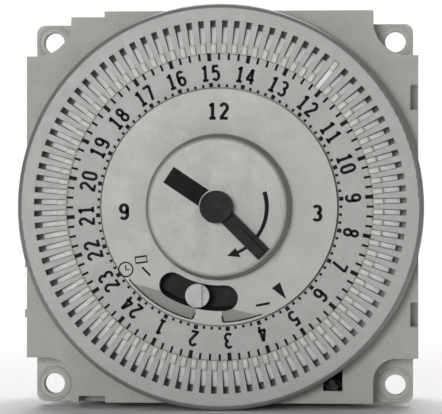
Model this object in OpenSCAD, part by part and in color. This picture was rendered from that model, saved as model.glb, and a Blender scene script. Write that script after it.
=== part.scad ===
// Programmable 24-hour timer module with sliding tappets, a clock face and a manual override.
// The part's frame: +Z up, the front faces -Y, and the origin is the centre of the four screw
// holes on the rear plane of the ears. Most shapes are drawn in the face frame instead: x runs
// to the right, y up and z towards the viewer, from the dial's axis.

/* [Mounting] */
// Distance between two neighbouring screw holes
hole_pitch = 60; // [58:0.5:62]
// Diameter of a screw hole
hole_d = 3.6; // [3.2:0.1:4.4]
// Width of the square that the four ears end at
ear_square = 66.2; // [65:0.1:68]
// Thickness of the ears
ear_t = 2.4; // [2:0.1:2.4]
// Height of the dial's axis over the centre of the holes
dial_rise = 1.1; // [0:0.1:1.5]

/* [Front cover] */
// Width of the square front cover
cover_w = 68; // [67.5:0.1:70]
// Depth of the cover's front face
cover_front = 9; // [8.8:0.1:9.2]
// Half the width that is left between two corner cut-outs
cut_start = 26.2; // [25.8:0.1:26.4]

/* [Dial] */
// Radius of the dial's rear flange
dial_r = 35; // [34.5:0.1:35.5]
// Depth of the dial's front face
dial_front = 14.5; // [14.5:0.1:14.8]
// Number of switching steps in a day
step_count = 96; // [96]
// Radius at which a tappet's slot starts
slot_in = 26.2; // [26:0.1:26.6]
// Radius at which a tappet's slot ends
slot_out = 32; // [31.8:0.1:32.4]
// Width of a tappet's slot
slot_w = 1; // [0.96:0.01:1.04]
// Angle of the fifteenth hour's tick, counted from the right
hour_15_angle = 93.9; // [90:0.1:98]
// Hour whose first quarter is switched on at rest
on_hour = 12; // [1:1:24]

/* [Clock face] */
// Radius of the fixed cap in the middle
cap_r = 20.2; // [20:0.1:20.3]
// Depth of the cap's front face
cap_front = 15.6; // [15.6:0.1:15.9]
// Radius of the hour disc's front face
disc_r = 11.6; // [11:0.1:11.8]
// Depth of the hour disc's front face
disc_front = 20.4; // [19:0.1:21]
// Length of the minute hand from the axis
hand_len = 11.3; // [10:0.1:11.5]
// Direction that the minute hand points to, counted from the right
hand_angle = -45.1; // [-180:0.1:180]

/* [Override switch] */
// Radius of the override slot's centre line
knob_path_r = 15.6; // [15.4:0.1:15.7]
// Diameter of the override knob
knob_d = 4.1; // [3.9:0.1:4.1]
// Direction of the knob in its middle position
knob_angle = 256.4; // [255:0.1:258]
// Turn of the knob from the middle to either end
knob_turn = 17; // [14:0.5:17]

/* [Movement] */
// Module of the fine wheels that drive the hands
fine_m = 0.4; // [0.4]
// Module of the coarse wheels that drive the dial
coarse_m = 0.5; // [0.5]
// Direction of the motion wheel's stud
motion_angle = 150; // [140:1:160]
// Direction of the dial idler's stud
idler_angle = 60; // [50:1:70]
// Radius of the motor can
motor_r = 17.5; // [17:0.1:17.8]

/* [Hidden] */
$fn = 96;
play = 0.05;
gap = 0.3;
overlap = 0.01;
step_angle = 360 / step_count;
hours = [1 : 24];

// Housing
case_half = 32.6;
case_cut = 26;
case_wall = 1.8;
case_rear = -24;
cover_wall = 1.6;
plate_front = 4.4;
back_plate_front = -8;
back_plate_rear = -9.6;
pillar_at = 21.6;
boss_out = 18.5;
boss_in = 17.3;
boss_ledge = 16.6;
boss_front = 13;
boss_ledge_front = 10.1;
recess_start = 222;
recess_turn = 68;
recess_r = 19.65;
recess_chord = recess_r * cos(recess_turn / 2);
recess_tilt = 14;
tongue_start = 257.3;
tongue_end = 271.7;

// Dial
base_rear = 9.5;
base_front = 10.5;
face_rear = 13.9;
hub_in = boss_out + play;
hub_out = 19.3;
hub_front = 13.75;
rim_in = 33.4;
rim_r = 34.9;
rim_rear = 13.5;
rim_round = 0.9;
skirt_in = 32.3;
skirt_out = 34.1;
comb_in = 21.3;
comb_out = 31;
tappet_w = 0.86;
tappet_rear = 10.6;
tappet_blade_front = 13.6;
tappet_front = 15.1;
tappet_in = 21.7;
tappet_out = 30.9;
tappet_throw = 3.9;
head_len = 1.8;

// Wheels: tooth numbers, depths and centre distances
motor_teeth = 10;
minute_teeth = 36;
cannon_teeth = 10;
motion_teeth = 40;
motion_pinion_teeth = 10;
hour_wheel_teeth = 30;
hour_gear_teeth = 72;
idler_teeth = 18;
idler_pinion_teeth = 10;
dial_teeth = 80;
motor_dist = fine_m * (motor_teeth + minute_teeth) / 2;
motor_angle = 270;
motion_dist = fine_m * (cannon_teeth + motion_teeth) / 2;
idler_dist = coarse_m * (hour_gear_teeth + idler_teeth) / 2;
arbor_r = 1;
pipe_in = arbor_r + play;
pipe_out = 2.2;
stud_r = 0.75;
lug_at = 20.5;
sleeve_r = 1.45;

// Follower lever, switch and terminals
pivot = [8.5, -28];
nose_angle = -57.5;
nose_post_r = 0.5;
nose_post_at = 36.7;
nose_tip_at = 35.3;
rear_arm_len = 7.5;
plunger_r = 0.9;
plunger_d = -3.2;
switch_u = [-14, 4.6];
switch_v = [-26.4, -18.4];
tab_pitch = 10;
tab_w = 6.3;
tab_t = 0.8;
tab_rear = -32;
tab_inner = -16;
tab_v = -27;

function tappet_name(h) = str("tappet_", h < 10 ? "0" : "", h);
function hour_angle(h) = hour_15_angle + 15 * (h - 15);
function tappet_angle(h) = hour_angle(h) + step_angle / 2;
function polar(r, a) = [r * cos(a), r * sin(a)];

// Outline of one gear tooth as [radius, angle] pairs, and of a whole gear
function tooth(rp, m, step) = [
    [rp - 1.2 * m, -0.3 * step],
    [rp, -0.205 * step],
    [rp + 0.85 * m, -0.09 * step],
    [rp + 0.85 * m, 0.09 * step],
    [rp, 0.205 * step],
    [rp - 1.2 * m, 0.3 * step]
];
function gear_outline(n, m, phase) = [
    for (i = [0 : n - 1])
        for (p = tooth(n * m / 2, m, 360 / n)) polar(p[0], phase + i * 360 / n + p[1])
];
// Phase of a gear that has a gap, and not a tooth, in the direction given
function gap_towards(angle, n) = angle + 180 / n;

// ---------- helpers ----------

// The face frame, with its origin on the dial's axis
module face_frame() {
    translate([0, 0, dial_rise]) rotate([90, 0, 0]) children();
}

// The same frame with its origin at the centre of the screw holes
module hole_frame() {
    rotate([90, 0, 0]) children();
}

// A prism between two depths of the face frame
module slab(rear, front) {
    translate([0, 0, rear]) linear_extrude(height = front - rear) children();
}

// A round rod between two depths
module rod(r, rear, front) {
    translate([0, 0, rear]) cylinder(r = r, h = front - rear);
}

// A tube between two depths
module tube(r_in, r_out, rear, front) {
    slab(rear, front) difference() {
        circle(r = r_out);
        circle(r = r_in);
    }
}

// A gear between two depths, without its bore
module gear(n, m, phase, rear, front) {
    slab(rear, front) polygon(gear_outline(n, m, phase));
}

// A flat bar from one point to another, with round ends
module link(from, to, w) {
    run = to - from;
    translate(from) circle(d = w, $fn = 32);
    translate(to) circle(d = w, $fn = 32);
    translate(from) rotate(atan2(run[1], run[0])) translate([0, -w / 2]) square([norm(run), w]);
}

// A wedge from the axis between two angles less than 120 degrees apart
module wedge(r, from, to) {
    mid = (from + to) / 2;
    polygon([[0, 0], polar(r, from), polar(1.4 * r, mid), polar(r, to)]);
}

// A square plate whose four corners are cut away, each cut-out with a round inner corner
module cross_plate(half, cut, round_top, round_bottom) {
    difference() {
        square(2 * half, center = true);
        for (side = [0, 1]) mirror([side, 0]) {
            corner_cut(half, cut, round_top);
            mirror([0, 1]) corner_cut(half, cut, round_bottom);
        }
    }
}

module corner_cut(half, cut, r) {
    reach = half - cut + 1;
    translate([cut + r, cut]) square([reach - r, reach]);
    translate([cut, cut + r]) square([reach, reach - r]);
    translate([cut + r, cut + r]) circle(r = r);
}

// ---------- housing ----------

// Square front cover with a round opening for the dial's hub, notches and snap windows
module front_cover() {
    half = cover_w / 2;
    color([0.63, 0.62, 0.58]) face_frame() {
        difference() {
            slab(ear_t, cover_front) cross_plate(half, cut_start, 6.1, 4);
            slab(ear_t - 1, cover_front - cover_wall)
                cross_plate(half - cover_wall, cut_start - cover_wall, 6.1, 4);
            rod(21.2, ear_t, cover_front + 1);
            cover_notches(half);
        }
        for (v = [-10.6, -19.3]) translate([-half - 0.7, v, 3]) cube([0.7 + overlap, 1.4, 3.4]);
    }
}

module cover_notches(half) {
    translate([-cut_start - 0.1, half - 1, -1]) cube([5.9, 2, 20]);
    translate([-24.9, -half - 1, -1]) cube([4.6, 2.15, 20]);
    for (v = [[16.8, 4.3], [-20.7, 4.2]])
        translate([half - 1.4, v[0], ear_t + 1]) cube([2, v[1], 20]);
    translate([17.6, -31.8, 1]) cube([3.3, 4.7, 20]);
}

// Rear case: a deep cross-shaped box with the four screw ears at its front edge
module rear_case() {
    color([0.72, 0.71, 0.67]) difference() {
        hole_frame() union() {
            slab(case_rear, ear_t) cross_plate(case_half, case_cut, 3, 3);
            slab(0, ear_t) ear_plate();
        }
        hole_frame() {
            slab(case_rear + case_wall, ear_t + 1)
                cross_plate(case_half - case_wall, case_cut - case_wall, 3, 3);
            rod(motor_r + gap, case_rear - 1, 0);
            for (i = [-2 : 2]) translate([i * tab_pitch - tab_w / 2 - 0.1, tab_v - 0.5, case_rear - 1])
                cube([tab_w + 0.2, 1, 4]);
            for (v = [-14, 14]) translate([-case_half - 1, v - 2, -16]) cube([4, 4, 3]);
            for (v = [-14, 14]) translate([case_half - 3, v - 2, -16]) cube([4, 4, 3]);
        }
    }
}

module ear_plate() {
    half = ear_square / 2;
    difference() {
        union() {
            square([ear_square, ear_square - 3], center = true);
            square([ear_square - 3, ear_square], center = true);
            for (x = [-1, 1], y = [-1, 1]) translate([x, y] * (half - 1.5)) circle(r = 1.5, $fn = 32);
        }
        for (x = [-1, 1], y = [-1, 1]) translate([x, y] * hole_pitch / 2) circle(d = hole_d);
    }
}

// Fixed cap: the clock face, with the override slot and the finger recess beside it
module face_cap() {
    end_turn = knob_turn + 0.6;
    color([0.71, 0.7, 0.67]) face_frame() difference() {
        union() {
            rod(cap_r, cap_front - 1.5, cap_front);
            tube(15.9, boss_in - 0.02, boss_front - 0.9, cap_front - 1.5 + overlap);
        }
        rod(pipe_out + gap, 0, 30);
        slab(0, 30) arc_slot(knob_path_r, 4.4, knob_angle - end_turn, knob_angle + end_turn);
        slab(0, cap_front - 1.5) wedge(24, knob_angle - 29, knob_angle + 29);
        intersection() {
            rod(recess_r, cap_front - 1.4, cap_front + 1);
            slab(cap_front - 1.4, cap_front + 1) {
                wedge(24, recess_start - 4, tongue_start);
                wedge(24, tongue_end, recess_start + recess_turn + 4);
            }
            rotate([0, 0, recess_start + recess_turn / 2]) translate([recess_chord, -20, cap_front])
                rotate([0, recess_tilt, 0]) cube([10, 40, 5]);
        }
    }
}

// A slot with round ends that follows an arc about the dial's axis
module arc_slot(r, w, from, to) {
    intersection() {
        difference() {
            circle(r = r + w / 2);
            circle(r = r - w / 2);
        }
        wedge(2 * r, from, to);
    }
    for (a = [from, to]) rotate(a) translate([r, 0]) circle(d = w - 0.06);
}

// Gear plate: the moulded front plate of the movement, whose tubular boss carries the dial
module gear_plate() {
    color([0.12, 0.12, 0.13]) face_frame() difference() {
        union() {
            slab(ear_t, plate_front) cross_plate(cover_w / 2 - cover_wall - 0.2, 24.4, 6.1, 4);
            tube(boss_ledge, boss_out, plate_front - overlap, boss_ledge_front);
            tube(boss_in, boss_out, boss_ledge_front - overlap, boss_front);
            rod(4, plate_front - overlap, 8);
        }
        rod(pipe_out + play, 0, 10);
        rotate([0, 0, idler_angle]) translate([idler_dist, 0, 0]) rod(3.4, 0, 10);
        translate(pivot) rod(1.2 + play, 0, 10);
        for (a = [0 : 90 : 270]) rotate([0, 0, a]) translate([9.5, 0, 0]) rod(2.6, 0, 10);
    }
}

// Back plate: carries the studs, the arbor's rear end and the motor
module back_plate() {
    color([0.75, 0.62, 0.3]) face_frame() slab(back_plate_rear, back_plate_front) difference() {
        square(50, center = true);
        circle(r = arbor_r + play);
        translate(polar(motor_dist, motor_angle)) circle(r = 2.8);
        for (x = [-1, 1], y = [-1, 1]) translate([x, y] * pillar_at) circle(r = 1.1);
        for (x = [-lug_at, lug_at]) translate([x, -dial_rise]) circle(r = 1.1);
    }
}

module pillars() {
    color([0.78, 0.66, 0.36]) face_frame()
        for (x = [-1, 1], y = [-1, 1]) translate([x * pillar_at, y * pillar_at, 0])
            difference() {
                rod(2, back_plate_front, ear_t);
                rod(1, back_plate_front - 1, back_plate_front + 5);
            }
}

// Four screws into the pillars and two that hold the motor's lugs
module plate_screws() {
    color([0.7, 0.7, 0.72]) {
        face_frame() for (x = [-1, 1], y = [-1, 1]) translate([x * pillar_at, y * pillar_at, 0])
            screw(back_plate_rear, back_plate_front + 4);
        hole_frame() for (x = [-lug_at, lug_at]) translate([x, 0, 0])
            screw(back_plate_rear - 1, back_plate_front + 0.5);
    }
}

// A pan-head screw whose head lies behind the depth given
module screw(head_front, tip) {
    difference() {
        union() {
            rod(1, head_front - overlap, tip);
            rod(1.9, head_front - 1.3, head_front);
        }
        translate([-2, -0.25, head_front - 1.8]) cube([4, 0.5, 1]);
    }
}

// Fixed studs on which the motion wheel and the dial idler turn
module wheel_studs() {
    color([0.76, 0.76, 0.78]) face_frame() {
        rotate([0, 0, motion_angle]) translate([motion_dist, 0, 0]) rod(stud_r, back_plate_front, 0);
        rotate([0, 0, idler_angle]) translate([idler_dist, 0, 0]) rod(stud_r, back_plate_front, 7.2);
    }
}

// ---------- motor, switch and terminals ----------

module motor_plate() {
    color([0.77, 0.78, 0.8]) hole_frame() slab(back_plate_rear - 1, back_plate_rear) difference() {
        union() {
            circle(r = motor_r);
            link([-lug_at, 0], [lug_at, 0], 5);
        }
        translate([0, dial_rise] + polar(motor_dist, motor_angle)) circle(r = 0.6 + play);
        for (x = [-lug_at, lug_at]) translate([x, 0]) circle(r = 1.1);
    }
}

// Deep-drawn motor can, closed at the rear
module motor_can() {
    rear = case_rear + 0.6;
    front = back_plate_rear - 1;
    color([0.8, 0.81, 0.83]) hole_frame() rotate_extrude() polygon([
        [0, rear], [motor_r - 1.2, rear], [motor_r - 0.35, rear + 0.35], [motor_r, rear + 1.2],
        [motor_r, front], [motor_r - 0.8, front], [motor_r - 0.8, rear + 0.8], [5, rear + 0.8],
        [5, rear + 1.6], [0, rear + 1.6]
    ]);
}

module coil_bobbin() {
    color([0.9, 0.88, 0.82]) hole_frame() rotate_extrude() polygon([
        [7, -21], [16, -21], [16, -20], [8, -20], [8, -13], [16, -13], [16, -12], [7, -12]
    ]);
}

module coil_winding() {
    color([0.72, 0.4, 0.2]) hole_frame() tube(8, 15, -20, -13);
}

// Two insulated leads that run from the motor's edge down to the outer terminals
module motor_leads() {
    color([0.75, 0.2, 0.15]) hole_frame() slab(-18, -16.8)
        for (side = [-1, 1]) {
            link([side * 12.5, -13.4], [side * 14, -22], 1.2);
            link([side * 14, -22], [side * 2 * tab_pitch, -25.9], 1.2);
        }
}

module switch_case() {
    size = [switch_u[1] - switch_u[0], switch_v[1] - switch_v[0]];
    color([0.2, 0.2, 0.22]) face_frame() difference() {
        translate([switch_u[0], switch_v[0], -7.4]) cube([size[0], size[1], 6.6]);
        translate([switch_u[0] + 1, switch_v[0] + 1, -6.6]) cube([size[0] - 2, size[1] - 2, 5]);
        plunger_rod(plunger_r + play, 0, 10);
    }
}

// Push rod between the follower's rear arm and the common leaf
module switch_plunger() {
    color([0.9, 0.9, 0.88]) face_frame() plunger_rod(plunger_r, 2.2, pivot[0] - 1 - gap);
}

module plunger_rod(r, from, to) {
    translate([from, pivot[1] + rear_arm_len, plunger_d]) rotate([0, 90, 0])
        cylinder(r = r, h = to - from);
}

// Fixed leaves inside the switch: the common leaf between the open and the closed contact
module switch_contacts() {
    color([0.8, 0.55, 0.3]) face_frame()
        for (u = [-9.5, -6, -1.4]) translate([u, -25.3, -6.3]) cube([0.3, 5.6, 4.4]);
}

// Flat strips that lead from the switch down to the three middle terminals
module contact_strips() {
    color([0.82, 0.66, 0.32]) hole_frame()
        for (i = [-1 : 1]) translate([i * tab_pitch - 1.5, tab_v - tab_t / 2, tab_inner + 0.1])
            cube([3, tab_t, -8 - tab_inner]);
}

// Five flat push-on tabs behind the case
module terminal_tabs() {
    color([0.84, 0.75, 0.48]) hole_frame()
        for (i = [-2 : 2]) translate([i * tab_pitch, tab_v + tab_t / 2, 0]) rotate([90, 0, 0])
            linear_extrude(height = tab_t) tab_outline();
}

module tab_outline() {
    difference() {
        polygon([
            [-tab_w / 2, tab_inner], [tab_w / 2, tab_inner], [tab_w / 2, tab_rear + 1.2],
            [tab_w / 2 - 1, tab_rear], [1 - tab_w / 2, tab_rear], [-tab_w / 2, tab_rear + 1.2]
        ]);
        translate([0, tab_rear + 3]) circle(r = 0.8);
    }
}

module rating_blank() {
    color([0.85, 0.86, 0.87]) hole_frame() translate([-15, 20, case_rear - 0.15]) cube([30, 9, 0.15]);
}

// Leaf spring on the gear plate whose upright end clicks against the override lever
module detent_spring() {
    color([0.75, 0.76, 0.78]) face_frame() rotate([0, 0, 80]) {
        rotate_extrude(angle = 40) translate([13.6, plate_front]) square([2.4, 0.3]);
        translate([13.6, 0, plate_front]) cube([2.4, 0.3, 5.6]);
    }
}

// Wire spring on a post, beneath the follower lever
module follower_spring() {
    color([0.75, 0.76, 0.78]) face_frame() {
        slab(5.2, 6.6) link([-6, -31], [9.5, -30.5], 0.5);
        translate([-6, -31, 0]) rod(0.8, plate_front, 6.6);
    }
}

// ---------- dial ----------

// Ring in front of the dial: numbered inner band, slotted band, rounded rim and a skirt
// behind the rim, slotted too, so that a tappet switched on can stand out through it
module dial_face() {
    color([0.66, 0.65, 0.62]) face_frame() {
        slab(face_rear, dial_front) difference() {
            circle(r = rim_in + overlap);
            circle(r = cap_r + gap);
            tappet_slots(slot_in, slot_out);
        }
        rotate_extrude() rim_outline();
        slab(base_front, face_rear + overlap) difference() {
            circle(r = skirt_out);
            circle(r = skirt_in);
            tappet_slots(skirt_in - 1, skirt_out + 1);
        }
    }
}

module tappet_slots(from, to) {
    for (i = [0 : step_count - 1]) rotate(hour_15_angle + (i + 0.5) * step_angle)
        translate([from, -slot_w / 2]) square([to - from, slot_w]);
}

module rim_outline() {
    square_front = dial_front - rim_round;
    translate([rim_in, rim_rear]) square([rim_r - rim_in, square_front - rim_rear]);
    translate([rim_in, rim_rear]) square([rim_r - rim_in - rim_round, dial_front - rim_rear]);
    translate([rim_r - rim_round, square_front]) intersection() {
        circle(r = rim_round);
        square(rim_round);
    }
}

// Drum behind it: hub on the boss, tooth ring, flange and the comb that guides the tappets
module dial_drum() {
    color([0.55, 0.54, 0.52]) face_frame() {
        tube(hub_in, hub_out, 4.8, hub_front);
        difference() {
            gear(dial_teeth, coarse_m, gap_towards(idler_angle, dial_teeth), 4.8, 7);
            rod(hub_in + 0.3, 4, 8);
        }
        tube(hub_in + 0.3, dial_r, base_rear, base_front);
        slab(base_front - overlap, face_rear) difference() {
            polygon(comb_outline());
            circle(r = hub_in + 0.3);
        }
    }
}

// Radial ribs between the tappets, on a round wall inside them
function comb_outline() = [
    for (i = [0 : step_count - 1])
        let (a = hour_15_angle + i * step_angle)
            for (p = rib()) polar(p[0], a + p[1])
];
function rib() = let (half = slot_w / 2) [
    [comb_in, asin(half / comb_in) - step_angle / 2],
    [comb_out, asin(half / comb_out) - step_angle / 2],
    [comb_out, step_angle / 2 - asin(half / comb_out)],
    [comb_in, step_angle / 2 - asin(half / comb_in)]
];

// One tappet: a flat blade in its channel, with a finger head that stands through the slot
module tappet_shape(a, out) {
    head = slot_in + 0.05;
    rotate([0, 0, a]) translate([out, tappet_w / 2, 0]) rotate([90, 0, 0])
        linear_extrude(height = tappet_w) polygon([
            [tappet_in, tappet_rear], [tappet_out, tappet_rear], [tappet_out, tappet_blade_front - 0.9],
            [tappet_out - 2.6, tappet_blade_front], [head + head_len, tappet_blade_front],
            [head + head_len, tappet_front - 0.2], [head + head_len - 0.3, tappet_front],
            [head + 0.3, tappet_front], [head, tappet_front - 0.3], [head, tappet_blade_front],
            [tappet_in, tappet_blade_front]
        ]);
}

module tappet(h) {
    color([0.88, 0.88, 0.85]) face_frame()
        tappet_shape(tappet_angle(h), h == on_hour ? tappet_throw : 0);
}

// The other three tappets of every hour, all switched off
module tappets_set() {
    color([0.88, 0.88, 0.85]) face_frame()
        for (h = hours, q = [1 : 3]) tappet_shape(tappet_angle(h) + q * step_angle, 0);
}

// ---------- hands and wheels ----------

// Raised hour disc with a tapered side
module hour_disc() {
    rear = cap_front + gap;
    color([0.7, 0.69, 0.66]) face_frame() rotate_extrude() polygon([
        [pipe_out, rear], [disc_r + 0.9, rear], [disc_r + 0.9, rear + 0.5],
        [disc_r + 0.25, disc_front - 0.5], [disc_r, disc_front - 0.12], [disc_r - 0.3, disc_front],
        [pipe_out, disc_front]
    ]);
}

// Hour pipe with the hour wheel and the gear that drives the dial
module hour_wheel() {
    color([0.9, 0.88, 0.8]) face_frame() difference() {
        union() {
            gear(hour_wheel_teeth, coarse_m, motion_angle, -1.9, -0.9);
            gear(hour_gear_teeth, coarse_m, idler_angle, 0.3, 1.3);
            rod(3.4, -0.9 - overlap, 1.6);
            rod(pipe_out, -1.9, disc_front);
        }
        rod(pipe_in, -4, 30);
    }
}

// Minute hand: hub, arm and a raised grip on its outer half
module minute_hand() {
    rear = disc_front + gap;
    color([0.1, 0.1, 0.11]) face_frame() rotate([0, 0, hand_angle]) difference() {
        union() {
            rod(2.76, rear, rear + 2.5);
            translate([0, -1.3, rear]) cube([hand_len, 2.6, 1.2]);
            translate([hand_len - 5.2, -0.5, rear + 1.2 - overlap]) cube([5, 1, 1.3]);
        }
        rod(arbor_r, 0, rear + 1.4);
    }
}

module centre_arbor() {
    color([0.78, 0.78, 0.8]) face_frame() rod(arbor_r, back_plate_rear + 0.2, disc_front + 1.7);
}

// Minute wheel and cannon pinion, pressed on the arbor
module minute_wheel() {
    color([0.78, 0.66, 0.36]) face_frame() difference() {
        union() {
            gear(minute_teeth, fine_m, motor_angle, -7, -6);
            gear(cannon_teeth, fine_m, motion_angle, -4.7, -3.1);
            rod(sleeve_r, -6 - overlap, -3.1);
        }
        rod(arbor_r, -12, 2);
    }
}

// Star washer that lets the hands slip when the clock is set
module clutch_spring() {
    color([0.75, 0.76, 0.78]) face_frame() slab(-5.8, -5.4) difference() {
        union() {
            circle(r = 2.2);
            for (a = [0 : 120 : 240]) link([0, 0], polar(3.4, a), 1.4);
        }
        circle(r = sleeve_r);
    }
}

module motion_wheel() {
    towards_centre = motion_angle + 180;
    color([0.9, 0.88, 0.8]) face_frame() translate(polar(motion_dist, motion_angle)) difference() {
        union() {
            gear(motion_teeth, fine_m, gap_towards(towards_centre, motion_teeth), -4.4, -3.4);
            gear(
                motion_pinion_teeth, coarse_m,
                gap_towards(towards_centre, motion_pinion_teeth), -3.4 - overlap, -0.3
            );
        }
        rod(stud_r + play, -10, 5);
    }
}

// Idler between the hour gear, behind the gear plate, and the dial's tooth ring in front of it
module dial_idler() {
    towards_centre = idler_angle + 180;
    color([0.9, 0.88, 0.8]) face_frame() translate(polar(idler_dist, idler_angle)) difference() {
        union() {
            gear(idler_teeth, coarse_m, gap_towards(towards_centre, idler_teeth), 0.1, 1.6);
            gear(idler_pinion_teeth, coarse_m, towards_centre, 1.6 - overlap, 7);
        }
        rod(stud_r + play, -10, 10);
    }
}

module motor_pinion() {
    towards_centre = motor_angle + 180;
    color([0.78, 0.66, 0.36]) face_frame() translate(polar(motor_dist, motor_angle)) {
        gear(motor_teeth, fine_m, gap_towards(towards_centre, motor_teeth), -7.4, -5.6);
        rod(0.6, back_plate_rear - 1.8, -7.4 + overlap);
    }
}

// ---------- override and follower ----------

// Ring that turns inside the boss and carries the knob
module override_lever() {
    color([0.35, 0.35, 0.36]) face_frame() {
        tube(13, boss_in - play, boss_ledge_front + gap, boss_ledge_front + 1.7);
    }
}

// Round knob with a raised grip rib
module override_knob() {
    color([0.66, 0.67, 0.68]) face_frame() rotate([0, 0, knob_angle]) translate([knob_path_r, 0, 0]) {
        rod(1.6, boss_ledge_front + 1.7, cap_front - 1.6);
        rod(knob_d / 2, cap_front - 1.6 - overlap, cap_front + 0.8);
        rotate([0, 0, 90 - knob_angle]) translate([-1.9, -0.8, cap_front + 0.8 - overlap])
            cube([3.8, 1.6, 0.7]);
    }
}

// Two-armed lever: its nose feels the tappets in front, its rear arm works the switch
module follower_lever() {
    post = polar(nose_post_at, nose_angle);
    color([0.14, 0.14, 0.15]) face_frame() {
        slab(4.8, 6.8) link(pivot, post, 2);
        translate(post) rod(nose_post_r, 6.8 - overlap, 12.4);
        slab(11, 12.4) link(post, polar(nose_tip_at + 0.45, nose_angle), 0.9);
        translate(pivot) rod(1.2, -4.6, 6.9);
        slab(-4.6, -2) link(pivot, pivot + [0, rear_arm_len], 2);
    }
}

// ---------- assembly ----------

front_cover();
rear_case();
face_cap();
gear_plate();
back_plate();
pillars();
plate_screws();
wheel_studs();
motor_plate();
motor_can();
coil_bobbin();
coil_winding();
motor_leads();
switch_case();
switch_plunger();
switch_contacts();
contact_strips();
terminal_tabs();
rating_blank();
detent_spring();
follower_spring();
dial_face();
dial_drum();
tappets_set();
hour_disc();
hour_wheel();
minute_hand();
centre_arbor();
minute_wheel();
clutch_spring();
motion_wheel();
dial_idler();
motor_pinion();
override_lever();
override_knob();
follower_lever();
for (h = hours) tappet(h);
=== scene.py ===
import math

import bpy
from mathutils import Matrix, Vector


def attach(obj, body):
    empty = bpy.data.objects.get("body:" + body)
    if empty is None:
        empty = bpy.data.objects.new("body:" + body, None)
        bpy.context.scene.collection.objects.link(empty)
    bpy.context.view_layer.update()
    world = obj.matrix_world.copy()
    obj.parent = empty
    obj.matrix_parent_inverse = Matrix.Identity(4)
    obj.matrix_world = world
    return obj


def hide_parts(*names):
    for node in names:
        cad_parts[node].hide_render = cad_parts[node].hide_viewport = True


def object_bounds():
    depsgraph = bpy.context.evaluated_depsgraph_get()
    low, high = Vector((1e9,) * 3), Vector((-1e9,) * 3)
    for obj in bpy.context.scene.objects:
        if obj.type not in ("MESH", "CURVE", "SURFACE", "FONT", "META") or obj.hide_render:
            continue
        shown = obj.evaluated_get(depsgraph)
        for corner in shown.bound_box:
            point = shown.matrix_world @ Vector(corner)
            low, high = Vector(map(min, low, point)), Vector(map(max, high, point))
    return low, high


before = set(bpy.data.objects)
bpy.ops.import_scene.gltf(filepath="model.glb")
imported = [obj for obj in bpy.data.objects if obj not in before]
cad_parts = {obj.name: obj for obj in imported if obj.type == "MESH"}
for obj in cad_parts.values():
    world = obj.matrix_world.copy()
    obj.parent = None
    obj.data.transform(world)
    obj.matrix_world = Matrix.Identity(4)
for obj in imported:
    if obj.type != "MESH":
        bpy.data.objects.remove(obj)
cad_box = [list(map(float, corner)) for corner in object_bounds()]
mm = 0.001

# ---------------------------------------------------------------------------------------------
# Rear case: one deep moulding in light grey plastic with four screw ears at its front edge.
# Its outer edges are eased, and the motor shows through its round window.
# ---------------------------------------------------------------------------------------------


def only(piece):
    """Selects this piece and nothing else, and makes it the active one."""
    bpy.ops.object.select_all(action="DESELECT")
    piece.select_set(True)
    bpy.context.view_layer.objects.active = piece


def ease_edges(piece, width, segments=2, sharp=32):
    """Rounds every sharp edge, marks the rounded faces as the ones that get rubbed, and smooths the piece."""
    only(piece)
    piece.data.materials.clear()
    piece.data.materials.append(None)
    piece.data.materials.append(None)
    bevel = piece.modifiers.new("edges", "BEVEL")
    bevel.width = width
    bevel.segments = segments
    bevel.limit_method = "ANGLE"
    bevel.angle_limit = math.radians(sharp)
    bevel.material = 1
    bpy.ops.object.modifier_apply(modifier=bevel.name)
    rubbed = piece.data.attributes.new("rubbed", "FLOAT", "FACE")
    rubbed.data.foreach_set("value", [float(face.material_index) for face in piece.data.polygons])
    piece.data.polygons.foreach_set("material_index", [0] * len(piece.data.polygons))
    bpy.ops.object.shade_smooth_by_angle(angle=math.radians(38))
    # the broad flats keep their true direction right up to the eased edges
    flats = piece.modifiers.new("flats", "WEIGHTED_NORMAL")
    flats.weight = 100
    flats.keep_sharp = True
    bpy.ops.object.modifier_apply(modifier=flats.name)


def moulded_copy(node, name, edge, segments=2):
    """A copy of a frame node, with its triangles joined up and its edges eased, that stands for it."""
    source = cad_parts[node]
    piece = bpy.data.objects.new(name, source.data.copy())
    piece.data.transform(source.matrix_world)
    bpy.context.collection.objects.link(piece)
    only(piece)
    bpy.ops.object.mode_set(mode="EDIT")
    bpy.ops.mesh.select_all(action="SELECT")
    bpy.ops.mesh.remove_doubles(threshold=0.002 * mm)
    bpy.ops.mesh.dissolve_limited(angle_limit=math.radians(0.4))
    bpy.ops.object.mode_set(mode="OBJECT")
    ease_edges(piece, edge, segments)
    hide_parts(node)
    return piece


def add_node(tree, kind, **settings):
    """A shader node. Names that match an input set its value, the others set the node's own fields."""
    made = tree.nodes.new(kind)
    for key, value in settings.items():
        if key.startswith("in_"):
            made.inputs[key[3:].replace("_", " ")].default_value = value
        else:
            setattr(made, key, value)
    return made


def centred(tree, noise, swing):
    """The noise stretched to run from minus to plus the swing."""
    spread = add_node(tree, "ShaderNodeMapRange", in_From_Min=0.3, in_From_Max=0.7)
    spread.inputs["To Min"].default_value = -swing
    spread.inputs["To Max"].default_value = swing
    tree.links.new(noise.outputs["Fac"], spread.inputs["Value"])
    return spread


def surface_group(name, traits):
    """A group for a surface: it takes a colour and these traits, and gives colour, roughness and height."""
    tree = bpy.data.node_groups.new(name, "ShaderNodeTree")
    face = tree.interface
    face.new_socket("Colour", in_out="INPUT", socket_type="NodeSocketColor")
    for trait in traits:
        face.new_socket(trait, in_out="INPUT", socket_type="NodeSocketFloat")
    face.new_socket("Colour", in_out="OUTPUT", socket_type="NodeSocketColor")
    face.new_socket("Roughness", in_out="OUTPUT", socket_type="NodeSocketFloat")
    face.new_socket("Height", in_out="OUTPUT", socket_type="NodeSocketFloat")
    return tree, add_node(tree, "NodeGroupInput"), add_node(tree, "NodeGroupOutput")


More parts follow.
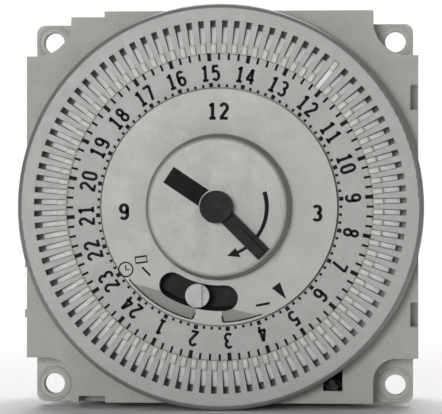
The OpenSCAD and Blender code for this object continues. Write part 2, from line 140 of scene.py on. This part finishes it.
def moulded_surface_group():
    """Colour, roughness and height of a moulded face: fine grain, faint clouds, specks and rubbed edges."""
    traits = ("Clouds", "Roughness", "Grain Scale", "Wear", "Dust")
    tree, given, result = surface_group("MouldedSurface", traits)
    place = add_node(tree, "ShaderNodeTexCoord")
    grain = add_node(tree, "ShaderNodeTexNoise", in_Detail=3.0, in_Roughness=0.65)
    clouds = add_node(tree, "ShaderNodeTexNoise", in_Scale=95.0, in_Detail=4.0, in_Roughness=0.6)
    smears = add_node(tree, "ShaderNodeTexNoise", in_Scale=420.0, in_Detail=5.0, in_Roughness=0.7)
    specks = add_node(tree, "ShaderNodeTexNoise", in_Scale=3600.0, in_Detail=2.0)
    eased = add_node(tree, "ShaderNodeAttribute", attribute_name="rubbed")
    link = tree.links.new
    for noise in (grain, clouds, smears, specks):
        link(place.outputs["Object"], noise.inputs["Vector"])
    link(given.outputs["Grain Scale"], grain.inputs["Scale"])
    # clouds: the colour swings a little to both sides of the pigment
    swing = centred(tree, clouds, 0.5)
    amount = add_node(tree, "ShaderNodeMath", operation="MULTIPLY_ADD")
    amount.inputs[2].default_value = 1.0
    link(swing.outputs["Result"], amount.inputs[0])
    link(given.outputs["Clouds"], amount.inputs[1])
    tinted = add_node(tree, "ShaderNodeVectorMath", operation="SCALE")
    link(given.outputs["Colour"], tinted.inputs[0])
    link(amount.outputs["Value"], tinted.inputs["Scale"])
    # eased edges are rubbed paler in places, and fine dark specks lie in the pigment
    rub = add_node(tree, "ShaderNodeMath", operation="MULTIPLY")
    link(eased.outputs["Fac"], rub.inputs[0])
    link(given.outputs["Wear"], rub.inputs[1])
    patchy = add_node(tree, "ShaderNodeMath", operation="MULTIPLY")
    link(rub.outputs["Value"], patchy.inputs[0])
    link(smears.outputs["Fac"], patchy.inputs[1])
    edged = add_node(tree, "ShaderNodeMix", data_type="RGBA")
    edged.inputs["B"].default_value = (0.8, 0.79, 0.76, 1.0)
    link(patchy.outputs["Value"], edged.inputs["Factor"])
    link(tinted.outputs["Vector"], edged.inputs["A"])
    speck = add_node(tree, "ShaderNodeMapRange", in_From_Min=0.6, in_From_Max=0.72)
    link(specks.outputs["Fac"], speck.inputs["Value"])
    dusted = add_node(tree, "ShaderNodeMath", operation="MULTIPLY")
    link(speck.outputs["Result"], dusted.inputs[0])
    link(given.outputs["Dust"], dusted.inputs[1])
    dirty = add_node(tree, "ShaderNodeMix", data_type="RGBA")
    dirty.inputs["B"].default_value = (0.12, 0.11, 0.09, 1.0)
    link(dusted.outputs["Value"], dirty.inputs["Factor"])
    link(edged.outputs["Result"], dirty.inputs["A"])
    link(dirty.outputs["Result"], result.inputs["Colour"])
    # handling leaves slightly glossier and duller patches
    gloss = centred(tree, smears, 0.07)
    rough = add_node(tree, "ShaderNodeMath", operation="ADD")
    link(given.outputs["Roughness"], rough.inputs[0])
    link(gloss.outputs["Result"], rough.inputs[1])
    link(rough.outputs["Value"], result.inputs["Roughness"])
    link(grain.outputs["Fac"], result.inputs["Height"])
    return tree


moulded_surface = moulded_surface_group()


def wire_skin(tree, surface, skin, grain, deep):
    """Leads a surface's colour, roughness and grain of this depth to the skin of a material."""
    bump = add_node(tree, "ShaderNodeBump", in_Strength=grain, in_Distance=deep)
    tree.links.new(surface.outputs["Colour"], skin.inputs["Base Color"])
    tree.links.new(surface.outputs["Roughness"], skin.inputs["Roughness"])
    tree.links.new(surface.outputs["Height"], bump.inputs["Height"])
    tree.links.new(bump.outputs["Normal"], skin.inputs["Normal"])


def plastic(name, colour, rough, clouds=0.06, grain=0.1, grain_size=0.14 * mm, wear=0.2, dust=0.3, milky=0.0,
            gloss=0.5):
    """A moulded plastic: pigment, surface grain, and for milky ones some light under the skin."""
    material = bpy.data.materials.new(name)
    material.use_nodes = True
    tree = material.node_tree
    skin = tree.nodes["Principled BSDF"]
    surface = add_node(tree, "ShaderNodeGroup", node_tree=moulded_surface)
    surface.inputs["Colour"].default_value = (*colour, 1.0)
    surface.inputs["Clouds"].default_value = clouds
    surface.inputs["Roughness"].default_value = rough
    surface.inputs["Grain Scale"].default_value = 1.0 / grain_size
    surface.inputs["Wear"].default_value = wear
    surface.inputs["Dust"].default_value = dust
    wire_skin(tree, surface, skin, grain, 0.03 * mm)
    skin.inputs["IOR"].default_value = 1.5
    skin.inputs["Specular IOR Level"].default_value = gloss
    skin.inputs["Subsurface Weight"].default_value = milky
    skin.inputs["Subsurface Radius"].default_value = (1.0, 0.95, 0.85)
    skin.inputs["Subsurface Scale"].default_value = 0.8 * mm
    return material


def finish(piece, material, body):
    """Gives a piece its material all over and lets it ride on its body."""
    piece.data.materials.clear()
    piece.data.materials.append(material)
    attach(piece, body)


def second_finish(piece, material, belongs):
    """Gives the faces that belong to it a second material; each use here lays on a darker copy that is
    painted shade.
    """
    piece.data.materials.append(material)
    for face in piece.data.polygons:
        if belongs(face):
            face.material_index = 1


case_grey = plastic("case_grey", (0.40, 0.395, 0.37), 0.48, grain=0.12)
case = moulded_copy("rear_case", "rear_case_moulding", 0.25 * mm, 3)
finish(case, case_grey, "housing")

# the low bead round each screw hole of the ears: one is shaped, the others are copies of it
ear_front = -2.4 * mm
hole_reach = 30 * mm
bpy.ops.mesh.primitive_torus_add(
    location=(hole_reach, ear_front, hole_reach), rotation=(math.radians(90), 0, 0),
    major_radius=2.8 * mm, minor_radius=0.28 * mm, major_segments=48, minor_segments=10,
)
bead = bpy.context.object
bead.scale = (1, 1, 0.6)
bpy.ops.object.transform_apply(location=True, rotation=True, scale=True)
bpy.ops.object.shade_smooth()
beads = []
for side, level in ((1, 1), (-1, 1), (1, -1), (-1, -1)):
    copy = bpy.data.objects.new("ear_bead", bead.data.copy())
    bpy.context.collection.objects.link(copy)
    copy.data.transform(Matrix.Translation(((side - 1) * hole_reach, 0, (level - 1) * hole_reach)))
    beads.append(copy)
only(bead)
bpy.ops.object.delete()
for copy in beads:
    copy.select_set(True)
bpy.context.view_layer.objects.active = beads[0]
bpy.ops.object.join()
beads[0].name = "ear_beads"
finish(beads[0], case_grey, "housing")

# ---------------------------------------------------------------------------------------------
# Motor: a synchronous clock motor in a deep-drawn zinc-plated steel can. Its bobbin, winding and
# red leads are inside, and it is screwed to a steel plate behind the gear train.
# ---------------------------------------------------------------------------------------------


def worked_metal_group():
    """Colour, roughness and height of sheet or turned metal: rolling streaks, stains and fine scratches."""
    tree, given, result = surface_group("WorkedMetal", ("Roughness", "Streaks", "Stains"))
    place = add_node(tree, "ShaderNodeTexCoord")
    stretch = add_node(tree, "ShaderNodeMapping", in_Scale=(500.0, 500.0, 9000.0))
    streaks = add_node(tree, "ShaderNodeTexNoise", in_Scale=1.0, in_Detail=4.0, in_Roughness=0.6)
    stains = add_node(tree, "ShaderNodeTexNoise", in_Scale=260.0, in_Detail=6.0, in_Roughness=0.65)
    link = tree.links.new
    link(place.outputs["Object"], stretch.inputs["Vector"])
    link(stretch.outputs["Vector"], streaks.inputs["Vector"])
    link(place.outputs["Object"], stains.inputs["Vector"])
    darker = add_node(tree, "ShaderNodeMapRange", in_From_Min=0.45, in_From_Max=0.75)
    link(stains.outputs["Fac"], darker.inputs["Value"])
    amount = add_node(tree, "ShaderNodeMath", operation="MULTIPLY")
    link(darker.outputs["Result"], amount.inputs[0])
    link(given.outputs["Stains"], amount.inputs[1])
    stained = add_node(tree, "ShaderNodeMix", data_type="RGBA", blend_type="MULTIPLY")
    stained.inputs["B"].default_value = (0.55, 0.5, 0.44, 1.0)
    link(amount.outputs["Value"], stained.inputs["Factor"])
    link(given.outputs["Colour"], stained.inputs["A"])
    link(stained.outputs["Result"], result.inputs["Colour"])
    spread = centred(tree, streaks, 0.2)
    rough = add_node(tree, "ShaderNodeMath", operation="MULTIPLY_ADD")
    link(spread.outputs["Result"], rough.inputs[0])
    link(given.outputs["Streaks"], rough.inputs[1])
    link(given.outputs["Roughness"], rough.inputs[2])
    link(rough.outputs["Value"], result.inputs["Roughness"])
    link(streaks.outputs["Fac"], result.inputs["Height"])
    return tree


worked_metal = worked_metal_group()


def metal(name, colour, rough, streaks=0.5, stains=0.3, grain=0.08):
    """A worked metal: its own colour, with streaks and stains in the sheen."""
    material = bpy.data.materials.new(name)
    material.use_nodes = True
    tree = material.node_tree
    skin = tree.nodes["Principled BSDF"]
    skin.inputs["Metallic"].default_value = 1.0
    surface = add_node(tree, "ShaderNodeGroup", node_tree=worked_metal)
    surface.inputs["Colour"].default_value = (*colour, 1.0)
    surface.inputs["Roughness"].default_value = rough
    surface.inputs["Streaks"].default_value = streaks
    surface.inputs["Stains"].default_value = stains
    wire_skin(tree, surface, skin, grain, 0.02 * mm)
    return material


def dress(material, *names):
    """Gives parts that stay as they come from the frame their finish."""
    for name in names:
        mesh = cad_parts[name].data
        mesh.materials.clear()
        mesh.materials.append(material)


zinc = metal("zinc_plated_steel", (0.62, 0.63, 0.64), 0.34, stains=0.25)
bright_steel = metal("bright_steel", (0.66, 0.66, 0.67), 0.24, stains=0.15)
copper = metal("enamelled_copper", (0.62, 0.25, 0.11), 0.32, stains=0.2)
acetal = plastic("natural_acetal", (0.72, 0.69, 0.6), 0.36, grain=0.05, milky=0.12, dust=0.15)
red_lead = plastic("red_lead_insulation", (0.42, 0.03, 0.025), 0.5, grain=0.05)
can = moulded_copy("motor_can", "motor_can_drawing", 0.5 * mm, 4)
finish(can, zinc, "housing")
dress(bright_steel, "motor_plate", "plate_screws", "wheel_studs")
dress(acetal, "coil_bobbin")
dress(copper, "coil_winding")
dress(red_lead, "motor_leads")

# ---------------------------------------------------------------------------------------------
# Movement: a brass back plate on brass pillars, a black nylon front plate with the boss that the
# dial turns on, and the wheels between them, moulded in acetal or hobbed in brass.
# ---------------------------------------------------------------------------------------------

brass = metal("rolled_brass", (0.66, 0.46, 0.17), 0.3, stains=0.35)
dress(brass, "back_plate", "pillars", "minute_wheel", "motor_pinion")
dress(acetal, "hour_wheel", "motion_wheel", "dial_idler")
plate_black = plastic("plate_black", (0.005, 0.005, 0.005), 0.6, grain=0.1, wear=0.02, dust=0.0, gloss=0.1)
dress(plate_black, "gear_plate")
dress(bright_steel, "centre_arbor", "clutch_spring", "detent_spring", "follower_spring")

# ---------------------------------------------------------------------------------------------
# Switch and terminals: a black snap switch with copper leaves, brass strips to five push-on tabs
# that stand out behind the case, and a black lever that feels for the tappets.
# ---------------------------------------------------------------------------------------------

switch_black = plastic("switch_black", (0.025, 0.025, 0.027), 0.42, grain=0.08)
dress(switch_black, "switch_case")
dress(acetal, "switch_plunger")
follower_black = plastic("follower_black", (0.012, 0.012, 0.012), 0.5, dust=0.0, gloss=0.15)
dress(follower_black, "follower_lever")
dress(copper, "switch_contacts")
dress(brass, "contact_strips")
tin_brass = metal("tinned_brass", (0.68, 0.58, 0.38), 0.27, stains=0.45)
tabs = moulded_copy("terminal_tabs", "push_on_tabs", 0.15 * mm, 2)
finish(tabs, tin_brass, "housing")

# the rating label is a blank silver film with rounded corners, stuck on the rear face
label_silver = metal("silver_label_film", (0.72, 0.73, 0.74), 0.42, streaks=0.3, stains=0.08)
dress(label_silver, "rating_blank")

# ---------------------------------------------------------------------------------------------
# Front cover: a thinner moulding of warm grey plastic, clipped over the movement. Its front is
# finely textured, with cut-outs over the screw ears and notches where the clips engage.
# ---------------------------------------------------------------------------------------------

cover_grey = plastic("cover_grey", (0.36, 0.35, 0.325), 0.52, clouds=0.1, grain=0.2, grain_size=0.18 * mm)
cover = moulded_copy("front_cover", "front_cover_moulding", 0.3 * mm, 3)
finish(cover, cover_grey, "housing")

# ---------------------------------------------------------------------------------------------
# Dial drum: the grey moulding behind the dial ring, with its tooth ring, its flange and the comb of
# 96 channels that guides the tappets. It runs on the boss of the front plate.
# ---------------------------------------------------------------------------------------------

drum_grey = plastic("drum_grey", (0.30, 0.295, 0.28), 0.5, grain=0.1)
drum = moulded_copy("dial_drum", "dial_drum_moulding", 0.08 * mm, 1)
finish(drum, drum_grey, "dial")

# ---------------------------------------------------------------------------------------------
# Tappets: 96 small milky white slides, one for each quarter of an hour, pushed in by hand. Their
# blades show through the windows of the ring, and each has a head for the fingertip.
# ---------------------------------------------------------------------------------------------

tappet_edge = 0.045 * mm
head_rear = 13.8 * mm
tappet_white = plastic(
    "milky_white", (0.86, 0.855, 0.835), 0.38, clouds=0.04, grain=0.05, dust=0.1, milky=0.5,
)
# the heads get a darker copy of the milky white: painted shade, so they read no brighter than the blades
# deeper in the windows
head_white_painted_shade = plastic(
    "head_white_painted_shade", (0.56, 0.55, 0.525), 0.42, clouds=0.1, grain=0.05, dust=0.2, milky=0.3,
)


def tappet_pieces(node, name, body):
    """One node of tappets: milky white all over, with the heads in a darker copy of the white, which is
    painted shade.
    """
    slides = moulded_copy(node, name, tappet_edge, 1)
    finish(slides, tappet_white, body)
    second_finish(slides, head_white_painted_shade, lambda face: face.center.y < -head_rear)


for hour in range(1, 25):
    tappet = f"tappet_{hour:02d}"
    tappet_pieces(tappet, tappet + "_slide", tappet + "_body")
tappet_pieces("tappets_set", "tappets_moulded", "dial")

# ---------------------------------------------------------------------------------------------
# Dial ring: a satin grey ring pressed on the drum, with a window for each tappet, and the hours and
# quarter-hours printed in black ink on both sides of the numerals.
# ---------------------------------------------------------------------------------------------

dial_rise = 1.1 * mm
dial_front = 14.5 * mm


def off_axis(face):
    """How far a face's middle lies from the dial's axis."""
    return math.hypot(face.center.x, face.center.z - dial_rise)


dial_grey = plastic("dial_grey", (0.355, 0.35, 0.338), 0.45, clouds=0.05, grain=0.08)
black_ink = plastic(
    "black_ink", (0.007, 0.0065, 0.0075), 0.6, clouds=0.1, grain=0.05, wear=0.0, dust=0.0, gloss=0.12,
)
ring = moulded_copy("dial_face", "dial_ring_moulding", 0.09 * mm, 2)
finish(ring, dial_grey, "dial")
# the outer slope of the rounded rim gets a darker grey, which is painted shade
painted_rim_shade = plastic("rim_painted_shade", (0.17, 0.17, 0.166), 0.34, clouds=0.12, grain=0.08, wear=0.25)
rim_inner, rim_rear = 34.05 * mm, 13.4 * mm
second_finish(ring, painted_rim_shade, lambda face: off_axis(face) > rim_inner and face.center.y < -rim_rear)


def set_on_face(piece, across, up, depth, turn=0.0, size=1.0):
    """Sets a flat piece, drawn in millimetres, upright on the face, and makes its place its own."""
    only(piece)
    piece.scale = (mm * size, mm * size, mm)
    piece.rotation_euler = (math.radians(90), -math.radians(turn), 0)
    piece.location = (across * mm, -depth, dial_rise + up * mm)
    bpy.ops.object.transform_apply(location=True, rotation=True, scale=True)


def polar(radius, angle):
    """A point this far from the dial's centre, at an angle counted from three o'clock upwards."""
    return (radius * math.cos(math.radians(angle)), radius * math.sin(math.radians(angle)))


def band(points, wide, closed=False):
    """The outline of a line of this width, or both outlines if it closes on itself."""
    sides = ([], [])
    for i, (across, up) in enumerate(points):
        before = points[i - 1] if i or closed else points[i]
        after = points[(i + 1) % len(points)] if i + 1 < len(points) or closed else points[i]
        run = (after[0] - before[0], after[1] - before[1])
        half = wide / 2 / math.hypot(*run)
        sides[0].append((across - run[1] * half, up + run[0] * half))
        sides[1].append((across + run[1] * half, up - run[0] * half))
    return [sides[0], sides[1]] if closed else [sides[0] + sides[1][::-1]]


def bow(across, up, wide, high, start, stop, count=14):
    """Points along part of an oval."""
    steps = [math.radians(start + (stop - start) * i / (count - 1)) for i in range(count)]
    return [(across + wide * math.cos(a), up + high * math.sin(a)) for a in steps]


def stroke(*points):
    """A line from point to point."""
    return list(points), False


def loop(points):
    """A line that closes on itself."""
    return points, True


# the ten figures as a signwriter draws them, each stroke a line of one width
six_bowl = bow(0.47, 0.66, 0.47, 0.66, 0, 340)
six_back = [(0, 0.66)] + bow(0.47, 1.68, 0.47, 0.64, 180, 32)
figure_strokes = {
    "0": [loop(bow(0.47, 1.7, 0.47, 0.62, 0, 180) + bow(0.47, 0.62, 0.47, 0.62, 180, 360))],
    "1": [stroke((0.55, 0), (0.55, 2.5)), stroke((0.6, 2.3), (0.1, 1.95)), stroke((0.1, 0), (1.0, 0))],
    "2": [stroke(*bow(0.47, 1.7, 0.47, 0.62, 165, -25), (0.03, 0.1)), stroke((-0.15, 0), (1.0, 0))],
    "3": [stroke(*bow(0.44, 1.76, 0.46, 0.56, 150, -90)), stroke(*bow(0.44, 0.6, 0.5, 0.6, 90, -150))],
    "4": [stroke((0.72, -0.18), (0.72, 2.4)), stroke((0.7, 2.4), (-0.02, 0.6)),
          stroke((-0.14, 0.58), (1.1, 0.58))],
    "5": [stroke((0.9, 2.32), (-0.02, 2.32)), stroke((0.13, 2.32), (0.07, 1.2)),
          stroke(*bow(0.44, 0.74, 0.5, 0.74, 128, -145))],
    "6": [loop(six_bowl), stroke(*six_back)],
    "7": [stroke((-0.12, 2.32), (1.0, 2.32)), stroke((0.92, 2.3), (0.34, -0.18))],
    "8": [loop(bow(0.47, 1.76, 0.41, 0.56, 0, 345)), loop(bow(0.47, 0.6, 0.47, 0.6, 0, 345))],
    "9": [loop([(0.94 - x, 2.32 - y) for x, y in six_bowl]),
          stroke(*[(0.94 - x, 2.32 - y) for x, y in six_back])],
}
figure_shapes = {}


def film(outlines, ink_height=0.02):
    """A thin closed film of ink from outlines, all in millimetres, lying flat at the origin."""
    drawing = bpy.data.curves.new("ink", "CURVE")
    drawing.dimensions = "2D"
    drawing.fill_mode = "BOTH"
    drawing.extrude = ink_height
    for outline in outlines:
        line = drawing.splines.new("POLY")
        line.points.add(len(outline) - 1)
        for point, (across, up) in zip(line.points, outline):
            point.co = (across, up, 0, 1)
        line.use_cyclic_u = True
    patch = bpy.data.objects.new("ink", drawing)
    bpy.context.collection.objects.link(patch)
    only(patch)
    bpy.ops.object.convert(target="MESH")
    bpy.ops.object.mode_set(mode="EDIT")
    bpy.ops.mesh.select_all(action="SELECT")
    bpy.ops.mesh.remove_doubles(threshold=0.004)
    bpy.ops.mesh.normals_make_consistent(inside=False)
    bpy.ops.object.mode_set(mode="OBJECT")
    return patch


def inked(outlines, depth):
    """A film of ink drawn round the dial's centre, set on the face."""
    patch = film(outlines)
    set_on_face(patch, 0, 0, depth)
    return patch


def join(pieces, name):
    """Joins pieces to one."""
    bpy.ops.object.select_all(action="DESELECT")
    for piece in pieces:
        piece.select_set(True)
    bpy.context.view_layer.objects.active = pieces[0]
    bpy.ops.object.join()
    pieces[0].name = name
    return pieces[0]


def numeral(digits, high, across, up, depth, turn=0.0, bold=0.47, wide=1.06):
    """A printed number of this height, centred on its place. Each figure is drawn once, then copied."""
    pitch, drawn_height = 1.74, 2.74
    figure_middle = (0.47, 1.16)
    parts = []
    for place, digit in enumerate(digits):
        if (digit, bold) not in figure_shapes:
            strokes = [film(band(points, bold, closed)) for points, closed in figure_strokes[digit]]
            shape = join(strokes, "figure")
            figure_shapes[digit, bold] = shape.data.copy()
            bpy.data.objects.remove(shape)
        figure = bpy.data.objects.new("figure", figure_shapes[digit, bold].copy())
        bpy.context.collection.objects.link(figure)
        shift = (place - (len(digits) - 1) / 2) * pitch
        figure.data.transform(Matrix.Translation((shift - figure_middle[0], -figure_middle[1], 0)))
        parts.append(figure)
    number = join(parts, "number")
    number.data.transform(Matrix.Diagonal((wide, 1, 1, 1)))
    set_on_face(number, across, up, depth, turn, high / drawn_height)
    return number


def printed(name, films, body):
    """Joins printed films to one piece in black ink that rides on its body."""
    piece = join(films, name)
    finish(piece, black_ink, body)
    return piece


def about_axis(turn):
    """A turn about the dial's axis, the way the angles count."""
    lift = Matrix.Translation((0, 0, dial_rise))
    return lift @ Matrix.Rotation(-math.radians(turn), 4, "Y") @ lift.inverted()


def tick_ring(inner, outer, wide, turns):
    """One radial tick, copied to every turn given."""
    first = inked(band([(inner, 0), (outer, 0)], wide), dial_front)
    copies = []
    for turn in turns[1:]:
        copy = bpy.data.objects.new("ink", first.data.copy())
        bpy.context.collection.objects.link(copy)
        copy.data.transform(about_axis(turn))
        copies.append(copy)
    first.data.transform(about_axis(turns[0]))
    return [first] + copies


def hour_angle(hour):
    """Where an hour stands on the dial in the rest position, when the 15 is near the top."""
    return 93.9 + 15 * (hour - 15)


# the outer ticks end where the windows begin, and the inner ones start at the edge of the cap
windows_r, cap_edge_r, numeral_r, numeral_high = 26.4, 20.55, 22.95, 2.8
hour_turns = [hour_angle(hour) for hour in range(1, 25)]
quarter_turns = [turn + 3.75 * quarter for turn in hour_turns for quarter in (1, 2, 3)]
ticks = tick_ring(25.0, windows_r, 0.68, hour_turns) + tick_ring(25.2, windows_r, 0.4, quarter_turns)
ticks += tick_ring(cap_edge_r, 21.3, 0.7, hour_turns) + tick_ring(cap_edge_r, 21.05, 0.44, quarter_turns)
printed("hour_and_quarter_ticks", ticks, "dial")
figures = []
for hour in range(1, 25):
    across, up = polar(numeral_r, hour_angle(hour))
    figures.append(numeral(str(hour), numeral_high, across, up, dial_front, hour_angle(hour) - 90))
printed("hour_numerals", figures, "dial")

# ---------------------------------------------------------------------------------------------
# Centre cap: a fixed satin disc that snaps on the boss. It carries the clock figures, the pointer
# for the dial, the marks of the override slot and a finger recess whose floor leans back.
# ---------------------------------------------------------------------------------------------

cap_front = 15.6 * mm


def lies_in_recess(face):
    """True for the broad floor of the finger recess, which leans back a little."""
    leans_back = 0.9 < -face.normal.y < 0.99
    return leans_back and off_axis(face) > 15.5 * mm and face.area > 0.5 * mm * mm


cap_grey = plastic("cap_grey", (0.395, 0.39, 0.373), 0.42, clouds=0.04, grain=0.06)
cap = moulded_copy("face_cap", "centre_cap_moulding", 0.12 * mm, 2)
finish(cap, cap_grey, "housing")
# the floor of the finger recess gets a coarser grain and a darker grey; the darker grey is painted shade
recess_painted_shade = plastic("recess_painted_shade", (0.27, 0.265, 0.255), 0.55, clouds=0.06, grain=0.2)
second_finish(cap, recess_painted_shade, lies_in_recess)


def arc(radius, start, stop, count=24, middle=(0, 0)):
    """Points along an arc round a middle."""
    steps = [start + (stop - start) * i / (count - 1) for i in range(count)]
    return [(middle[0] + polar(radius, a)[0], middle[1] + polar(radius, a)[1]) for a in steps]


marks = [
    numeral("12", 2.9, -0.15, 16.4, cap_front, bold=0.5, wide=1.12),
    numeral("9", 2.85, -16.3, -0.8, cap_front, bold=0.5, wide=1.2),
    numeral("3", 2.85, 16.8, -1.05, cap_front, bold=0.5, wide=1.2),
    # the pointer for the time of day
    inked([[polar(19.5, -53.8), polar(16.55, -50.9), polar(16.55, -56.9)]], cap_front),
    # the mark for always on
    inked(band([(6.35, -16.85), (8.7, -16.4)], 0.42), cap_front),
]
# the mark for always off is a small tilted box, and a stroke leads from it to the slot
box_turn, box_middle = 8, Vector((-13.35, -9.0))
box_corners = [Vector(corner) for corner in ((0.98, 0.5), (-0.98, 0.5), (-0.98, -0.5), (0.98, -0.5))]
box = [box_middle + Matrix.Rotation(math.radians(box_turn), 2) @ corner for corner in box_corners]
marks.append(inked(band(box, 0.32, closed=True), cap_front))
marks.append(inked(band([(-13.2, -10.3), (-11.75, -11.75)], 0.34), cap_front))
# a small clock face for automatic running
clock_across, clock_up = -16.0, -10.7
clock_hands = [(clock_across, -9.95), (clock_across, -10.75), (-15.35, -10.75)]
clock_rim = arc(1.22, 0, 350, 32, (clock_across, clock_up))
marks.append(inked(band(clock_rim, 0.24, closed=True), cap_front))
marks.append(inked(band(clock_hands, 0.24), cap_front))
# the two brackets of the override slot
left_bracket = arc(19.75, 218.8, 256.3) + [polar(18.5, 257.4)]
right_bracket = [polar(18.65, 271.6)] + arc(19.7, 272.0, 291.9)
marks.append(inked(band(left_bracket, 0.22), cap_front))
marks.append(inked(band(right_bracket, 0.22), cap_front))
printed("cap_printing", marks, "housing")

# ---------------------------------------------------------------------------------------------
# Hour disc: a raised grey disc pushed on the hour pipe. The black bar printed on it is the hour
# hand, and the curved arrow shows which way it is turned to set the time.
# ---------------------------------------------------------------------------------------------

disc_front = 20.4 * mm
disc_grey = plastic("disc_grey", (0.36, 0.355, 0.34), 0.4, clouds=0.04, grain=0.05)
disc = moulded_copy("hour_disc", "hour_disc_moulding", 0.1 * mm, 2)
finish(disc, disc_grey, "hour_hand")
# the side wall of the disc gets a darker grey, which is painted shade
painted_wall_shade = plastic("disc_wall_painted_shade", (0.19, 0.187, 0.18), 0.45, clouds=0.1, grain=0.06)
second_finish(disc, painted_wall_shade, lambda face: abs(face.normal.y) < 0.4)
# the bar runs out from the hub, and its inner end follows the hub's edge
bar_turn, half_bar, bar_end, hub_r = 146.3, 1.6, 9.9, 3.1  # degrees, then millimetres
bar_sides = [half_bar * (1 - i / 6) for i in range(13)]
bar = [(hub_r * math.cos(math.asin(side / hub_r)), side) for side in bar_sides]
bar += [(bar_end, -half_bar), (bar_end, half_bar)]
bar = [polar(math.hypot(x, y), math.degrees(math.atan2(y, x)) + bar_turn) for x, y in bar]
# the arrow's shaft narrows from its tail to its head
arrow_r, tail_turn, shaft_sweep = 8.45, 17.7, 83.5
shares = [i / 24 for i in range(25)]
outer_side = [polar(arrow_r + 0.38 - 0.12 * share, tail_turn - shaft_sweep * share) for share in shares]
inner_side = [polar(arrow_r - 0.38 + 0.12 * share, tail_turn - shaft_sweep * share) for share in shares]
arrow = outer_side + inner_side[::-1]
head = [polar(arrow_r + 0.95, -64.5), polar(arrow_r, -78.4), polar(arrow_r - 0.85, -65.5)]
disc_inks = [inked([outline], disc_front) for outline in (bar, arrow, head)]
printed("hour_disc_printing", disc_inks, "hour_hand")

# ---------------------------------------------------------------------------------------------
# Minute hand: moulded in black, pressed on the arbor, with a raised grip on its outer half to
# turn it by.
# ---------------------------------------------------------------------------------------------

hand_black = plastic(
    "hand_black", (0.0085, 0.008, 0.009), 0.5, clouds=0.1, grain=0.06, wear=0.03, dust=0.0, gloss=0.14,
)
hand = moulded_copy("minute_hand", "minute_hand_moulding", 0.16 * mm, 3)
finish(hand, hand_black, "minute_drive")

# ---------------------------------------------------------------------------------------------
# Override: a dark acetal ring round the hub with a light grey knob that stands up through the
# curved slot of the cap. The knob has a raised rib across its top.
# ---------------------------------------------------------------------------------------------

lever_dark = plastic("lever_dark", (0.014, 0.014, 0.015), 0.5, grain=0.08, wear=0.03, dust=0.0, gloss=0.12)
knob_light = plastic("knob_light", (0.36, 0.36, 0.355), 0.36, grain=0.05, milky=0.05)
lever = moulded_copy("override_lever", "override_ring", 0.12 * mm, 2)
finish(lever, lever_dark, "override")
knob = moulded_copy("override_knob", "override_knob_moulding", 0.14 * mm, 3)
finish(knob, knob_light, "override")

# ---------------------------------------------------------------------------------------------
# Stage: a pale paper sweep that runs flat under the part and bends up behind it, three soft boxes,
# and the camera a little to the right of the dial's axis. Its sizes are in metres.
# ---------------------------------------------------------------------------------------------

floor_top = cad_box[0][2]
floor_front, floor_run = -1.2, 1.5
sweep_run, sweep_wide = 3.2, 4.0
bend = 0.45
bend_run = bend * math.pi / 2
bpy.ops.mesh.primitive_grid_add(x_subdivisions=2, y_subdivisions=60, size=1.0)
sweep = bpy.context.object
sweep.name = "studio_sweep"
for vertex in sweep.data.vertices:
    run = (vertex.co.y + 0.5) * sweep_run
    turn = min(max(run - floor_run, 0.0), bend_run) / bend
    back = floor_front + min(run, floor_run) + bend * math.sin(turn)
    rise = bend * (1 - math.cos(turn)) + max(run - floor_run - bend_run, 0.0)
    vertex.co = (vertex.co.x * sweep_wide, back, floor_top + rise)
only(sweep)
bpy.ops.object.shade_smooth()
paper = bpy.data.materials.new("studio_paper")
paper.use_nodes = True
paper_skin = paper.node_tree.nodes["Principled BSDF"]
paper_skin.inputs["Base Color"].default_value = (0.9, 0.9, 0.9, 1)
paper_skin.inputs["Roughness"].default_value = 0.9
sweep.data.materials.append(paper)


def soft_light(name, place, target, width, power):
    """A square soft box that points at the target."""
    light = bpy.data.lights.new(name, "AREA")
    light.size = width
    light.energy = power
    lamp = bpy.data.objects.new(name, light)
    bpy.context.collection.objects.link(lamp)
    lamp.location = place
    lamp.rotation_euler = (Vector(target) - Vector(place)).to_track_quat("-Z", "Y").to_euler()


soft_light("key", (-0.14, -0.85, 0.08), (0, 0, 0), 0.22, 3.2)
soft_light("fill", (0.3, -0.85, 0.24), (0, 0, 0), 0.5, 0.3)
soft_light("back", (0.0, 0.6, 0.8), (0, 0.3, 0.2), 0.8, 11.0)
world = bpy.data.worlds.new("studio")
world.use_nodes = True
room = world.node_tree.nodes["Background"]
room.inputs["Color"].default_value = (1, 1, 1, 1)
room.inputs["Strength"].default_value = 0.2
bpy.context.scene.world = world
bpy.context.scene.view_settings.view_transform = "Standard"

camera_data = bpy.data.cameras.new("camera")
camera = bpy.data.objects.new("camera", camera_data)
bpy.context.collection.objects.link(camera)
camera_turn = math.radians(4.0)
camera_distance = 480 * mm
aim = Vector((0, -10.5 * mm, dial_rise))
camera.location = aim + camera_distance * Vector((math.sin(camera_turn), -math.cos(camera_turn), 0))
camera.rotation_euler = (aim - camera.location).to_track_quat("-Z", "Y").to_euler()
camera_data.sensor_width = 36
camera_data.lens = 226.36
camera_data.clip_end = 10
bpy.context.scene.camera = camera
